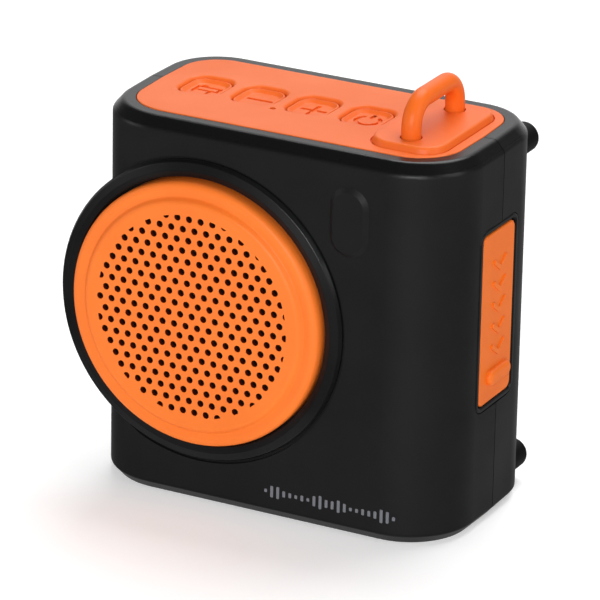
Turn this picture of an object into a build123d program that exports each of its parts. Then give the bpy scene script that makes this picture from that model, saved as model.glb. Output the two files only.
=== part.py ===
"""Portable bluetooth speaker, as separate solids in one frame.

Millimetres. The origin is the centre of the case's base. X runs to the right as seen
from the front, Y runs to the back and Z runs up, so the grille faces -Y.
"""
from build123d import *
from math import atan, ceil, cos, degrees, radians, sin, sqrt
import os

# ---------------------------------------------------------------- case
CASE_W, CASE_D, CASE_H = 80.0, 43.4, 78.8
FRONT_CORNER_R, BACK_CORNER_R = 14.2, 12.6
WALL = 2.0
SIDE_TAPER = 0.5           # each side comes in by this much towards the front and the back
SPLIT_Y = 1.0              # the plane where the two shells meet
SEAM_GAP = 0.25
TOP_BEVEL_RUN, TOP_BEVEL_RISE = 2.0, 2.3
BASE_BEVEL_RUN, BASE_BEVEL_RISE = 1.8, 2.0
EDGE_ROUND = 0.35          # softened moulded edges
TOP_BEVEL_ROUND, BASE_BEVEL_ROUND = 1.2, 0.6
RIM_W = 2.5                # flat rim between the top bevel and the top panel
LIP_T, LIP_H, LIP_GAP = 0.9, 1.2, 0.1
LEDGE_T, LEDGE_W = 1.5, 1.5
BOSS_R, REAR_BOSS_R = 3.4, 4.2
FIT, PAST, TOUCH = 0.05, 1.0, 0.01     # slide-fit clearance, overshoot of a cut, smallest step

# ---------------------------------------------------------------- top
PANEL_T, PANEL_PROUD, PANEL_GAP, PANEL_ROUND = 2.75, 0.15, 0.15, 0.2
DECK_T = 1.3
KEY_W, KEY_L, KEY_R, KEY_GAP = 8.6, 10.1, 2.8, 0.2
KEY_DROP = 0.5             # the key's edge lies this far below the panel
KEY_DISH, KEY_FLOOR_W, KEY_FLOOR_L, KEY_FLOOR_R = 0.65, 6.3, 7.8, 1.7
KEY_DISH_SLOPE, KEY_DISH_ROUND, KEY_ROUND = 50, 0.5, 0.25
KEY_PITCH, KEY_FIRST_X, KEY_Y, SIGN_Y = 11.95, -25.4, 0.7, 1.0
KEY_LIFT = 0.65            # room under a key cap, more than its travel
WINDOW_ROUND = 0.95
STEM_R, PLUNGER_R = 1.7, 1.6
SIGN_DEPTH, SIGN_STROKE, SIGN_SPAN = 0.4, 0.95, 5.7
PLATFORM_X, PLATFORM_W, PLATFORM_L = 25.05, 15.8, 29.0
PLATFORM_H, PLATFORM_R, PLATFORM_SLOPE, PLATFORM_ROUND = 1.25, 5.0, 0.5, 0.75
PLATFORM_GROOVE_W, PLATFORM_GROOVE_DEPTH = 0.3, 0.5
LOOP_ROD_R, LOOP_HALF, LOOP_AXIS_Z, LOOP_BEND_R = 1.95, 9.55, 86.95, 5.0
LOOP_HOLE_R = 2.2
MIC_X, MIC_Y, MIC_HOLE_R = -7.4, -5.0, 0.65
BUTTON_BOARD_TOP, BUTTON_BOARD_T = 70.2, 1.2
SWITCH_H = 3.5

# ---------------------------------------------------------------- speaker and grille
SPEAKER_X, SPEAKER_Z = -13.9, 40.7
HOUSING_R, HOUSING_BACK, HOUSING_CHAMFER = 31.2, -9.5, 2.5
HOUSING_ROOM_R, HOUSING_ROOM_BACK = 28.6, -12.0
SEAT_R, SEAT_DEPTH = 27.8, 2.0
MOUTH_R = 23.5
BAFFLE_BACK = -17.7
GRILLE_R, GRILLE_EDGE_Y, GRILLE_FACE_Y, GRILLE_T = 27.35, -23.25, -25.65, 1.0
GRILLE_FIELD_R = 21.05     # the perforated field
GRILLE_PITCH, GRILLE_HOLE_R = 2.573, 0.7
GRILLE_SHIFT_X, GRILLE_SHIFT_Z, GRILLE_TURN = 1.56, 2.39, -1.3
BEZEL_IN_R, BEZEL_CREST_R, BEZEL_CREST_H = 27.9, 29.2, 1.25
CONE_R, COIL_OUT_R, COIL_IN_R = 17.2, 6.3, 5.6
DRIVER_SCREW_RING, DRIVER_SCREW_R, DRIVER_SCREW_BITE, DRIVER_PILOT_DEPTH = 25.3, 0.9, 1.4, 1.6

# ---------------------------------------------------------------- port side
PORT_Y, PORT_Z = 0.43, 43.45
FRAME_W, FRAME_H, FRAME_R, FRAME_CHAMFER, FRAME_GAP = 16.9, 37.9, 2.7, 0.25, 0.12
POCKET_W, POCKET_H, POCKET_R, POCKET_FLOOR = 14.45, 35.8, 1.0, 36.4
FLAP_W, FLAP_H, FLAP_R, FLAP_T, FLAP_FACE = 14.15, 35.4, 1.8, 2.0, 39.85
HINGE_X, HINGE_R, HINGE_TOP_GAP, PIN_R = 38.95, 1.05, 0.25, 0.45
USB_Z, CARD_Z, AUX_Z = 33.5, 43.5, 53.0
AUX_BORE_R = 1.75
BOARD_LEFT, BOARD_RIGHT, BOARD_LOW, BOARD_HIGH = 3.0, 34.6, 17.5, 68.5
BOARD_Y, BOARD_T = 2.2, 1.6
BOARD_POSTS = [(20.0, 21.0), (20.0, 65.0), (32.0, 21.0), (32.0, 65.0)]
POST_R = 2.3

# ---------------------------------------------------------------- back
FOOT_X, FOOT_LOW_Z, FOOT_HIGH_Z = 34.7, 5.3, 72.7
FOOT_R, FOOT_TIP_Y, FOOT_SEAT_Y = 3.1, 22.3, 14.5
CASE_SCREW_R, CASE_PILOT_R, CASE_SCREW_END = 1.05, 1.1, -8.0

# ---------------------------------------------------------------- worked-out places
FRONT_Y, BACK_Y, SIDE_X = -CASE_D / 2, CASE_D / 2, CASE_W / 2
PANEL_TOP = CASE_H + PANEL_PROUD
PANEL_BOTTOM = PANEL_TOP - PANEL_T
DECK_BOTTOM = PANEL_BOTTOM - DECK_T
LEDGE_BOTTOM = DECK_BOTTOM - LEDGE_T
OPENING_INSET = TOP_BEVEL_RUN + RIM_W
LEDGE_INSET = OPENING_INSET + LEDGE_W
PANEL_INSET = OPENING_INSET + PANEL_GAP
KEY_XS = [KEY_FIRST_X + KEY_PITCH * number for number in range(4)]
KEY_TOP, KEY_BOTTOM = PANEL_TOP - KEY_DROP, PANEL_BOTTOM + KEY_LIFT
SWITCH_TOP = BUTTON_BOARD_TOP + SWITCH_H
PLUNGER_TOP = SWITCH_TOP + 1.0
HINGE_Z = PORT_Z + POCKET_H / 2 - HINGE_TOP_GAP - HINGE_R
FLAP_TOP = HINGE_Z + HINGE_R
FEET = [(x, z) for x in (-FOOT_X, FOOT_X) for z in (FOOT_LOW_Z, FOOT_HIGH_Z)]
SPEAKER_CENTRE = [(SPEAKER_X, SPEAKER_Z)]
SCREW_REACH = DRIVER_SCREW_RING * cos(radians(45))
DRIVER_SCREWS = [(SPEAKER_X + x, SPEAKER_Z + z)
                 for x in (-SCREW_REACH, SCREW_REACH) for z in (-SCREW_REACH, SCREW_REACH)]
SPEAKER_PLANE = Plane(origin=(SPEAKER_X, 0, SPEAKER_Z), x_dir=(1, 0, 0), z_dir=(0, 0, 1))
SPEAKER_AXIS = Axis((SPEAKER_X, 0, SPEAKER_Z), (0, 1, 0))

os.makedirs("parts", exist_ok=True)


def save(solid, name):
    """Label a finished piece and write it as its own STEP file."""
    solid.label = name
    export_step(solid, f"parts/{name}.step")


def facing_front(y):
    """A plane across the speaker: local x is X, local y is Z, and it faces -Y."""
    return Plane(origin=(0, y, 0), x_dir=(1, 0, 0), z_dir=(0, -1, 0))


def facing_side(x):
    """A plane along the right side: local x is Y, local y is Z, and it faces +X."""
    return Plane(origin=(x, 0, 0), x_dir=(0, 1, 0), z_dir=(1, 0, 0))


def rods(points, radius, start, end):
    """Round bars parallel to Y, from y = start back to y = end, at (x, z) points."""
    with BuildPart() as bars:
        with BuildSketch(facing_front(start)):
            with Locations(*points):
                Circle(radius)
        extrude(amount=start - end)
    return bars.part


def block(low, high):
    """A plain block between two opposite corners."""
    size = [b - a for a, b in zip(low, high)]
    middle = [(a + b) / 2 for a, b in zip(low, high)]
    with BuildPart() as piece:
        with Locations(tuple(middle)):
            Box(*size)
    return piece.part


def turned(outline):
    """A ring or disc turned about the speaker's axis from (radius, y) corners."""
    with BuildPart() as piece:
        with BuildSketch(SPEAKER_PLANE):
            with BuildLine():
                Polyline(*outline, close=True)
            make_face()
        revolve(axis=SPEAKER_AXIS)
    return piece.part


# ---------------------------------------------------------------- shapes the shells share
def case_outline(inset):
    """The case's plan outline moved inwards: widest at the split, tapered to both ends."""
    mid_w, half_d = CASE_W / 2 - inset, CASE_D / 2 - inset
    end_w = mid_w - SIDE_TAPER
    with BuildSketch() as outline:
        with BuildLine():
            Polyline(
                (-end_w, -half_d), (end_w, -half_d), (mid_w, SPLIT_Y),
                (end_w, half_d), (-end_w, half_d), (-mid_w, SPLIT_Y), close=True)
        make_face()
        fillet([v for v in outline.vertices() if v.Y < -half_d / 2], FRONT_CORNER_R - inset)
        fillet([v for v in outline.vertices() if v.Y > half_d / 2], BACK_CORNER_R - inset)
    return outline.sketch


def case_slab(inset, low, high):
    """The case's outline, moved inwards and extruded from one height to another."""
    with BuildPart() as slab:
        with BuildSketch(Plane.XY.offset(low)):
            add(case_outline(inset))
        extrude(amount=high - low)
    return slab.part


def case_block():
    """The outside of the case as one block, with its bevelled top and base."""
    with BuildPart() as body:
        add(case_slab(0, 0, CASE_H))
        top = body.faces().sort_by(Axis.Z)[-1]
        chamfer(top.edges(), TOP_BEVEL_RUN, TOP_BEVEL_RISE, reference=top)
        base = body.faces().sort_by(Axis.Z)[0]
        chamfer(base.edges(), BASE_BEVEL_RUN, BASE_BEVEL_RISE, reference=base)
        for levels, radius in (((0, BASE_BEVEL_RISE), BASE_BEVEL_ROUND),
                               ((CASE_H - TOP_BEVEL_RISE, CASE_H), TOP_BEVEL_ROUND)):
            rims = [e for e in body.edges()
                    if min(abs(e.center().Z - level) for level in levels) < EDGE_ROUND / 2]
            fillet(rims, radius)
    return body.part


CASE_BLOCK = case_block()
ROOM = case_slab(WALL, WALL, LEDGE_BOTTOM)
TOP_OPENING = (case_slab(LEDGE_INSET, LEDGE_BOTTOM, CASE_H)
               + case_slab(OPENING_INSET, DECK_BOTTOM, PANEL_TOP))


def seam_lip(clearance):
    """The thin wall by which the rear shell finds its place inside the front shell."""
    inset = WALL - LIP_T - clearance
    front = SPLIT_Y - LIP_H - clearance
    reach = block((-CASE_W, front, 0), (CASE_W, SPLIT_Y + SEAM_GAP, LEDGE_BOTTOM))
    return (case_slab(inset, inset, LEDGE_BOTTOM) & reach) - ROOM


def port_slab(width, height, radius, start, end):
    """A rounded slab round the ports, from x = start to x = end."""
    with BuildPart() as slab:
        with BuildSketch(facing_side(start)):
            with Locations((PORT_Y, PORT_Z)):
                RectangleRounded(width, height, radius)
        extrude(amount=end - start)
    return slab.part


PORT_CUTOUT = port_slab(
    FRAME_W + 2 * FRAME_GAP, FRAME_H + 2 * FRAME_GAP, FRAME_R + FRAME_GAP, SIDE_X - 2 * WALL, SIDE_X + WALL)

# ---------------------------------------------------------------- front_shell
PILL_X, PILL_Z, PILL_W, PILL_H, PILL_RISE, PILL_SLOPE = 18.3, 65.3, 8.4, 14.3, 0.8, 0.95
GROOVE_W, GROOVE_DEPTH = 0.6, 0.7

with BuildPart() as housing:
    add(rods(SPEAKER_CENTRE, HOUSING_R, FRONT_Y, HOUSING_BACK))
    chamfer(housing.faces().sort_by(Axis.Y)[-1].edges(), HOUSING_CHAMFER)

with BuildPart() as front_shell:
    add(CASE_BLOCK)
    split(bisect_by=facing_front(SPLIT_Y), keep=Keep.TOP)
    add(housing.part)
    add(ROOM, mode=Mode.SUBTRACT)
    add(rods(SPEAKER_CENTRE, HOUSING_R - EDGE_ROUND, FRONT_Y + EDGE_ROUND, BAFFLE_BACK))
    add(rods(FEET, BOSS_R, FRONT_Y + WALL / 2, SPLIT_Y) & CASE_BLOCK)
    add(rods(BOARD_POSTS, POST_R, FRONT_Y + WALL / 2, BOARD_Y) & CASE_BLOCK)
    with BuildSketch(facing_front(FRONT_Y)):
        with Locations((PILL_X, PILL_Z)):
            RectangleRounded(PILL_W, PILL_H, PILL_W / 2 - TOUCH)
    extrude(amount=PILL_RISE, taper=degrees(atan(PILL_SLOPE / PILL_RISE)))
    add(TOP_OPENING, mode=Mode.SUBTRACT)
    add(rods(SPEAKER_CENTRE, HOUSING_ROOM_R, BAFFLE_BACK, HOUSING_ROOM_BACK), mode=Mode.SUBTRACT)
    add(rods(SPEAKER_CENTRE, SEAT_R, FRONT_Y - PAST, FRONT_Y + SEAT_DEPTH), mode=Mode.SUBTRACT)
    add(rods(SPEAKER_CENTRE, MOUTH_R, FRONT_Y, BAFFLE_BACK), mode=Mode.SUBTRACT)
    groove = turned([
        (HOUSING_R, FRONT_Y - PAST), (HOUSING_R + GROOVE_W, FRONT_Y - PAST),
        (HOUSING_R + GROOVE_W, FRONT_Y + GROOVE_DEPTH), (HOUSING_R, FRONT_Y + GROOVE_DEPTH)])
    add(groove, mode=Mode.SUBTRACT)
    add(seam_lip(LIP_GAP), mode=Mode.SUBTRACT)
    add(PORT_CUTOUT, mode=Mode.SUBTRACT)
    add(rods(FEET, CASE_PILOT_R, CASE_SCREW_END - PAST, SPLIT_Y), mode=Mode.SUBTRACT)
    add(rods(DRIVER_SCREWS, DRIVER_SCREW_R + FIT, BAFFLE_BACK - DRIVER_PILOT_DEPTH, BAFFLE_BACK),
        mode=Mode.SUBTRACT)
save(front_shell.part, "front_shell")

# ---------------------------------------------------------------- rear_shell
BATTERY_LOW, BATTERY_HIGH = (-30.0, 10.7, 20.0), (20.0, 18.7, 54.0)
RIB_T, RIB_GAP, RIB_END_ROOM = 1.4, 0.4, 9.0

with BuildPart() as rear_shell:
    add(CASE_BLOCK)
    split(bisect_by=facing_front(SPLIT_Y + SEAM_GAP), keep=Keep.BOTTOM)
    add(ROOM, mode=Mode.SUBTRACT)
    add(rods(FEET, REAR_BOSS_R, SPLIT_Y + SEAM_GAP, BACK_Y) & CASE_BLOCK)
    add(seam_lip(0))
    for side, x in ((-1, BATTERY_LOW[0]), (1, BATTERY_HIGH[0])):
        near, far = sorted((x + side * RIB_GAP, x + side * (RIB_GAP + RIB_T)))
        low_z, high_z = BATTERY_LOW[2] + RIB_END_ROOM, BATTERY_HIGH[2] - RIB_END_ROOM
        add(block((near, BATTERY_LOW[1] + WALL, low_z), (far, BACK_Y - WALL / 2, high_z)))
    add(rods(FEET, BOSS_R + LIP_GAP, SPLIT_Y - 2 * LIP_H, SPLIT_Y + SEAM_GAP), mode=Mode.SUBTRACT)
    add(TOP_OPENING, mode=Mode.SUBTRACT)
    add(PORT_CUTOUT, mode=Mode.SUBTRACT)
    add(rods(FEET, FOOT_R + FIT, FOOT_SEAT_Y, BACK_Y + WALL), mode=Mode.SUBTRACT)
    add(rods(FEET, CASE_SCREW_R + 3 * FIT, 0, FOOT_SEAT_Y), mode=Mode.SUBTRACT)
save(rear_shell.part, "rear_shell")

# ---------------------------------------------------------------- grille and bezel
def grille_points():
    """Centres of the grille's holes, on a hexagonal lattice that is turned a little."""
    turn, reach = radians(GRILLE_TURN), GRILLE_FIELD_R + GRILLE_HOLE_R / 2
    rows = ceil(reach / GRILLE_PITCH) + 3
    points = []
    for row in range(-rows, rows + 1):
        for step in range(-2 * rows, 2 * rows + 1):
            across, up = (step + row / 2) * GRILLE_PITCH, row * GRILLE_PITCH * sqrt(3) / 2
            x = GRILLE_SHIFT_X + across * cos(turn) - up * sin(turn)
            z = GRILLE_SHIFT_Z + across * sin(turn) + up * cos(turn)
            if x * x + z * z < reach * reach:
                points.append((SPEAKER_X + x, SPEAKER_Z + z))
    return points


FACE_END_R, BACK_END_R, VALLEY_R, VALLEY_DEPTH, CREST_R, CREST_DROP = 23.0, 22.8, 24.4, 0.95, 25.9, 0.8
BRIM_SHOULDER_IN, BRIM_SHOULDER_DROP = 0.35, 0.4
SKIRT_R, SKIRT_END, SKIRT_DEPTH = 26.3, FRONT_Y + SEAT_DEPTH - FIT, 0.6

with BuildPart() as grille_disc:
    with BuildSketch(SPEAKER_PLANE):
        with BuildLine():
            face = Line((0, GRILLE_FACE_Y), (FACE_END_R, GRILLE_FACE_Y))
            valley = Spline(
                face @ 1, (VALLEY_R, GRILLE_FACE_Y + VALLEY_DEPTH), (CREST_R, GRILLE_FACE_Y + CREST_DROP),
                tangents=((1, 0), (1, 0)))
            shoulder = (GRILLE_R - BRIM_SHOULDER_IN, GRILLE_FACE_Y + CREST_DROP + BRIM_SHOULDER_DROP)
            brim = Spline(valley @ 1, shoulder, (GRILLE_R, GRILLE_EDGE_Y), tangents=((1, 0), (0, 1)))
            Polyline(
                brim @ 1, (GRILLE_R, SKIRT_END), (SKIRT_R, SKIRT_END),
                (SKIRT_R, GRILLE_EDGE_Y + SKIRT_DEPTH), (BACK_END_R, GRILLE_FACE_Y + GRILLE_T),
                (0, GRILLE_FACE_Y + GRILLE_T), face @ 0)
        make_face()
    revolve(axis=SPEAKER_AXIS)
    with BuildSketch(facing_front(GRILLE_FACE_Y - PAST)):
        with Locations(*grille_points()):
            Circle(GRILLE_HOLE_R)
        with Locations(*SPEAKER_CENTRE):
            Circle(GRILLE_FIELD_R, mode=Mode.INTERSECT)
    extrude(amount=-GRILLE_T - 2 * PAST, mode=Mode.SUBTRACT)
save(grille_disc.part, "grille_disc")

CLOTH_R, CLOTH_T = 22.6, 0.3
CLOTH_Y = GRILLE_FACE_Y + GRILLE_T
with BuildPart() as grille_cloth:
    add(rods(SPEAKER_CENTRE, CLOTH_R, CLOTH_Y, CLOTH_Y + CLOTH_T))
save(grille_cloth.part, "grille_cloth")

BEZEL_IN_H, BEZEL_OUT_H, BEZEL_OUT_SLOPE, BEZEL_ROUND = 0.9, 0.75, 0.4, 0.25
with BuildPart() as bezel_ring:
    bezel_out_r = HOUSING_R - FIT
    add(turned([
        (BEZEL_IN_R, FRONT_Y), (BEZEL_IN_R, FRONT_Y - BEZEL_IN_H), (BEZEL_CREST_R, FRONT_Y - BEZEL_CREST_H),
        (bezel_out_r - BEZEL_OUT_SLOPE, FRONT_Y - BEZEL_OUT_H), (bezel_out_r, FRONT_Y)]))
    fronts = [e for e in bezel_ring.edges() if e.center().Y < FRONT_Y - BEZEL_OUT_H / 2]
    fillet(fronts, BEZEL_ROUND)
save(bezel_ring.part, "bezel_ring")

# ---------------------------------------------------------------- speaker driver
MAGNET_R, MAGNET_IN_R, MAGNET_BACK, MAGNET_ROUND = 14.0, 7.5, 1.0, 0.5
PLATE_R, PLATE_IN_R, PLATE_BACK = 13.0, 6.7, -5.0
YOKE_R, YOKE_BACK, YOKE_BEVEL, POLE_R, POLE_FRONT = 13.5, 3.0, 0.8, 5.3, -7.5
FLANGE_R, FLANGE_IN_R, FLANGE_Y, FLANGE_T = 27.0, 21.2, BAFFLE_BACK + 0.8, 1.0
FLANGE_HOLE_R, GASKET_IN_R = 1.1, 23.6
BASKET_BACK, BASKET_T, BASKET_HOLE_R, BASKET_FOOT_R, BASKET_LEAN = -7.0, 1.0, 7.0, 16.2, 0.8
COIL_FRONT, COIL_BACK = -12.5, -4.5
SURROUND_FLAT = 0.4
TERMINAL_X, TERMINAL_L, TERMINAL_BACK, TERMINAL_LOW, TERMINAL_HIGH = SPEAKER_X + 20.2, 3.2, -9.6, 38.6, 43.0
DRIVER_HEAD_R, DRIVER_HEAD_H = 1.6, 1.0

with BuildPart() as driver_basket:
    add(turned([
        (FLANGE_IN_R, FLANGE_Y), (FLANGE_R, FLANGE_Y), (FLANGE_R, FLANGE_Y + FLANGE_T),
        (FLANGE_IN_R + BASKET_LEAN, FLANGE_Y + FLANGE_T), (BASKET_FOOT_R, BASKET_BACK),
        (BASKET_HOLE_R, BASKET_BACK), (BASKET_HOLE_R, BASKET_BACK - BASKET_T),
        (BASKET_FOOT_R - BASKET_LEAN, BASKET_BACK - BASKET_T)]))
    add(block((TERMINAL_X - TERMINAL_L, TERMINAL_BACK - BASKET_T, TERMINAL_LOW),
              (TERMINAL_X, TERMINAL_BACK, TERMINAL_HIGH)))
    add(rods(DRIVER_SCREWS, FLANGE_HOLE_R, FLANGE_Y - PAST, FLANGE_Y + FLANGE_T + PAST), mode=Mode.SUBTRACT)
save(driver_basket.part, "driver_basket")

with BuildPart() as driver_gasket:
    add(turned([
        (GASKET_IN_R, BAFFLE_BACK), (FLANGE_R, BAFFLE_BACK), (FLANGE_R, FLANGE_Y), (GASKET_IN_R, FLANGE_Y)]))
    add(rods(DRIVER_SCREWS, FLANGE_HOLE_R, BAFFLE_BACK - PAST, FLANGE_Y + PAST), mode=Mode.SUBTRACT)
save(driver_gasket.part, "driver_gasket")

with BuildPart() as driver_screws:
    add(rods(DRIVER_SCREWS, DRIVER_SCREW_R, BAFFLE_BACK - DRIVER_SCREW_BITE, FLANGE_Y + FLANGE_T))
    add(rods(DRIVER_SCREWS, DRIVER_HEAD_R, FLANGE_Y + FLANGE_T, FLANGE_Y + FLANGE_T + DRIVER_HEAD_H))
save(driver_screws.part, "driver_screws")

with BuildPart() as driver_top_plate:
    add(turned([(PLATE_IN_R, BASKET_BACK), (PLATE_R, BASKET_BACK), (PLATE_R, PLATE_BACK),
                (PLATE_IN_R, PLATE_BACK)]))
save(driver_top_plate.part, "driver_top_plate")

with BuildPart() as driver_magnet:
    add(turned([(MAGNET_IN_R, PLATE_BACK), (MAGNET_R, PLATE_BACK), (MAGNET_R, MAGNET_BACK),
                (MAGNET_IN_R, MAGNET_BACK)]))
    rims = driver_magnet.edges().filter_by(GeomType.CIRCLE)
    fillet([e for e in rims if e.radius > MAGNET_R - TOUCH], MAGNET_ROUND)
save(driver_magnet.part, "driver_magnet")

with BuildPart() as driver_yoke:
    add(turned([
        (0, POLE_FRONT), (POLE_R, POLE_FRONT), (POLE_R, MAGNET_BACK), (YOKE_R, MAGNET_BACK),
        (YOKE_R, YOKE_BACK - YOKE_BEVEL), (YOKE_R - YOKE_BEVEL, YOKE_BACK), (0, YOKE_BACK)]))
save(driver_yoke.part, "driver_yoke")

with BuildPart() as voice_coil:
    add(turned([(COIL_IN_R, COIL_FRONT), (COIL_OUT_R, COIL_FRONT), (COIL_OUT_R, COIL_BACK),
                (COIL_IN_R, COIL_BACK)]))
save(voice_coil.part, "voice_coil")

CONE_EDGE_Y, CONE_T = -16.6, 0.6
CONE_FRONT_MID, CONE_BACK_MID = (12.6, -14.2), (12.4, -13.6)
with BuildPart() as driver_cone:
    with BuildSketch(SPEAKER_PLANE):
        with BuildLine():
            front = ThreePointArc((COIL_OUT_R, COIL_FRONT), CONE_FRONT_MID, (CONE_R, CONE_EDGE_Y))
            rim = Line(front @ 1, (CONE_R, CONE_EDGE_Y + CONE_T))
            back = ThreePointArc(rim @ 1, CONE_BACK_MID, (COIL_OUT_R, COIL_FRONT + CONE_T))
            Line(back @ 1, front @ 0)
        make_face()
    revolve(axis=SPEAKER_AXIS)
save(driver_cone.part, "driver_cone")

CAP_H, CAP_T = 2.0, 0.4
CAP_BALL_R = (COIL_OUT_R ** 2 + CAP_H ** 2) / (2 * CAP_H)
with BuildPart() as dust_cap:
    with Locations((SPEAKER_X, COIL_FRONT - CAP_H + CAP_BALL_R, SPEAKER_Z)):
        Sphere(CAP_BALL_R)
        Sphere(CAP_BALL_R - CAP_T, mode=Mode.SUBTRACT)
    split(bisect_by=facing_front(COIL_FRONT), keep=Keep.TOP)
save(dust_cap.part, "dust_cap")

ROLL_IN_R, ROLL_OUT_R, ROLL_H, ROLL_FLANGE_R = 17.8, 21.4, 1.5, 23.4
with BuildPart() as driver_surround:
    with BuildSketch(SPEAKER_PLANE):
        with BuildLine():
            roll_mid = (ROLL_IN_R + ROLL_OUT_R) / 2
            level = FLANGE_Y - SURROUND_FLAT
            foot = Line((CONE_R, CONE_EDGE_Y), (ROLL_IN_R, level))
            roll = ThreePointArc(foot @ 1, (roll_mid, level - ROLL_H), (ROLL_OUT_R, level))
            Polyline(
                roll @ 1, (ROLL_FLANGE_R, level), (ROLL_FLANGE_R, FLANGE_Y), (ROLL_OUT_R, FLANGE_Y))
            under_roll = ThreePointArc(
                (ROLL_OUT_R, FLANGE_Y), (roll_mid, FLANGE_Y - ROLL_H), (ROLL_IN_R, FLANGE_Y))
            Polyline(under_roll @ 1, (CONE_R, CONE_EDGE_Y + SURROUND_FLAT), foot @ 0)
        make_face()
    revolve(axis=SPEAKER_AXIS)
save(driver_surround.part, "driver_surround")

SPIDER_OUT_R, SPIDER_Y, SPIDER_T, SPIDER_WAVES, SPIDER_SWING = 16.75, -10.5, 0.3, 10, 0.35
with BuildPart() as driver_spider:
    step = (SPIDER_OUT_R - COIL_OUT_R) / SPIDER_WAVES
    wave = [(COIL_OUT_R, SPIDER_Y)]
    for number in range(1, SPIDER_WAVES):
        swing = SPIDER_SWING if number % 2 else -SPIDER_SWING
        wave.append((COIL_OUT_R + step * number, SPIDER_Y + swing))
    wave.append((SPIDER_OUT_R, SPIDER_Y))
    add(turned(wave + [(r, y + SPIDER_T) for r, y in reversed(wave)]))
save(driver_spider.part, "driver_spider")

# ---------------------------------------------------------------- top deck, panel and loop
LOOP_FEET = [(PLATFORM_X, -LOOP_HALF), (PLATFORM_X, LOOP_HALF)]
KEY_PLACES = [(x, KEY_Y) for x in KEY_XS]
DECK_POSTS = [(x, y) for x in (-27.8, 15.5) for y in (-6.5, 7.5)]
DECK_POST_R, DECK_PILOT_R, DECK_PILOT_DEPTH = 1.9, 0.8, 3.5
STEM_ROOM, LOOP_PILOT_R, LOOP_PILOT_DEPTH = 0.35, 0.85, 7.5

with BuildPart() as top_deck:
    add(case_slab(PANEL_INSET, DECK_BOTTOM, PANEL_BOTTOM))
    with BuildSketch(Plane.XY.offset(BUTTON_BOARD_TOP)):
        with Locations(*DECK_POSTS):
            Circle(DECK_POST_R)
    extrude(amount=DECK_BOTTOM - BUTTON_BOARD_TOP)
    with BuildSketch(Plane.XY.offset(BUTTON_BOARD_TOP)):
        with Locations(*DECK_POSTS):
            Circle(DECK_PILOT_R)
    extrude(amount=DECK_PILOT_DEPTH, mode=Mode.SUBTRACT)
    with BuildSketch(Plane.XY.offset(DECK_BOTTOM)):
        with Locations(*KEY_PLACES):
            Circle(STEM_R + STEM_ROOM)
        with Locations(*LOOP_FEET):
            Circle(LOOP_ROD_R + FIT)
        with Locations((MIC_X, MIC_Y)):
            Circle(MIC_HOLE_R)
    extrude(amount=DECK_T, mode=Mode.SUBTRACT)
save(top_deck.part, "top_deck")

with BuildPart() as top_panel:
    add(case_slab(PANEL_INSET, PANEL_BOTTOM, PANEL_TOP))
    with BuildSketch(Plane.XY.offset(PANEL_BOTTOM)):
        with Locations(*KEY_PLACES):
            RectangleRounded(KEY_W + 2 * KEY_GAP, KEY_L + 2 * KEY_GAP, KEY_R + KEY_GAP)
    extrude(amount=PANEL_T, mode=Mode.SUBTRACT)
    skin = top_panel.faces().sort_by(Axis.Z)[-1]
    fillet([e for w in skin.inner_wires() for e in w.edges()], WINDOW_ROUND)
    skin = top_panel.faces().sort_by(Axis.Z)[-1]
    fillet(skin.outer_wire().edges(), PANEL_ROUND)
    with BuildSketch(Plane.XY.offset(PANEL_TOP)):
        with Locations((PLATFORM_X, 0)):
            RectangleRounded(
                PLATFORM_W + 2 * PLATFORM_GROOVE_W, PLATFORM_L + 2 * PLATFORM_GROOVE_W,
                PLATFORM_R + PLATFORM_GROOVE_W)
            RectangleRounded(PLATFORM_W, PLATFORM_L, PLATFORM_R, mode=Mode.SUBTRACT)
    extrude(amount=-PLATFORM_GROOVE_DEPTH, mode=Mode.SUBTRACT)
    with BuildSketch(Plane.XY.offset(PANEL_TOP)):
        with Locations((PLATFORM_X, 0)):
            RectangleRounded(PLATFORM_W, PLATFORM_L, PLATFORM_R)
    extrude(amount=PLATFORM_H, taper=degrees(atan(PLATFORM_SLOPE / PLATFORM_H)))
    fillet(top_panel.faces().sort_by(Axis.Z)[-1].edges(), PLATFORM_ROUND)
    with BuildSketch(Plane.XY.offset(PANEL_BOTTOM)):
        with Locations(*LOOP_FEET):
            Circle(LOOP_HOLE_R)
        with Locations((MIC_X, MIC_Y)):
            Circle(MIC_HOLE_R)
    extrude(amount=2 * PANEL_T, mode=Mode.SUBTRACT)
save(top_panel.part, "top_panel")

with BuildPart() as carry_loop:
    with BuildLine():
        FilletPolyline(
            (PLATFORM_X, -LOOP_HALF, DECK_BOTTOM), (PLATFORM_X, -LOOP_HALF, LOOP_AXIS_Z),
            (PLATFORM_X, LOOP_HALF, LOOP_AXIS_Z), (PLATFORM_X, LOOP_HALF, DECK_BOTTOM),
            radius=LOOP_BEND_R)
    with BuildSketch(Plane(origin=(PLATFORM_X, -LOOP_HALF, DECK_BOTTOM), z_dir=(0, 0, 1))):
        Circle(LOOP_ROD_R)
    sweep()
    with BuildSketch(Plane.XY.offset(DECK_BOTTOM)):
        with Locations(*LOOP_FEET):
            Circle(LOOP_PILOT_R)
    extrude(amount=LOOP_PILOT_DEPTH, mode=Mode.SUBTRACT)
save(carry_loop.part, "carry_loop")

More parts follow.
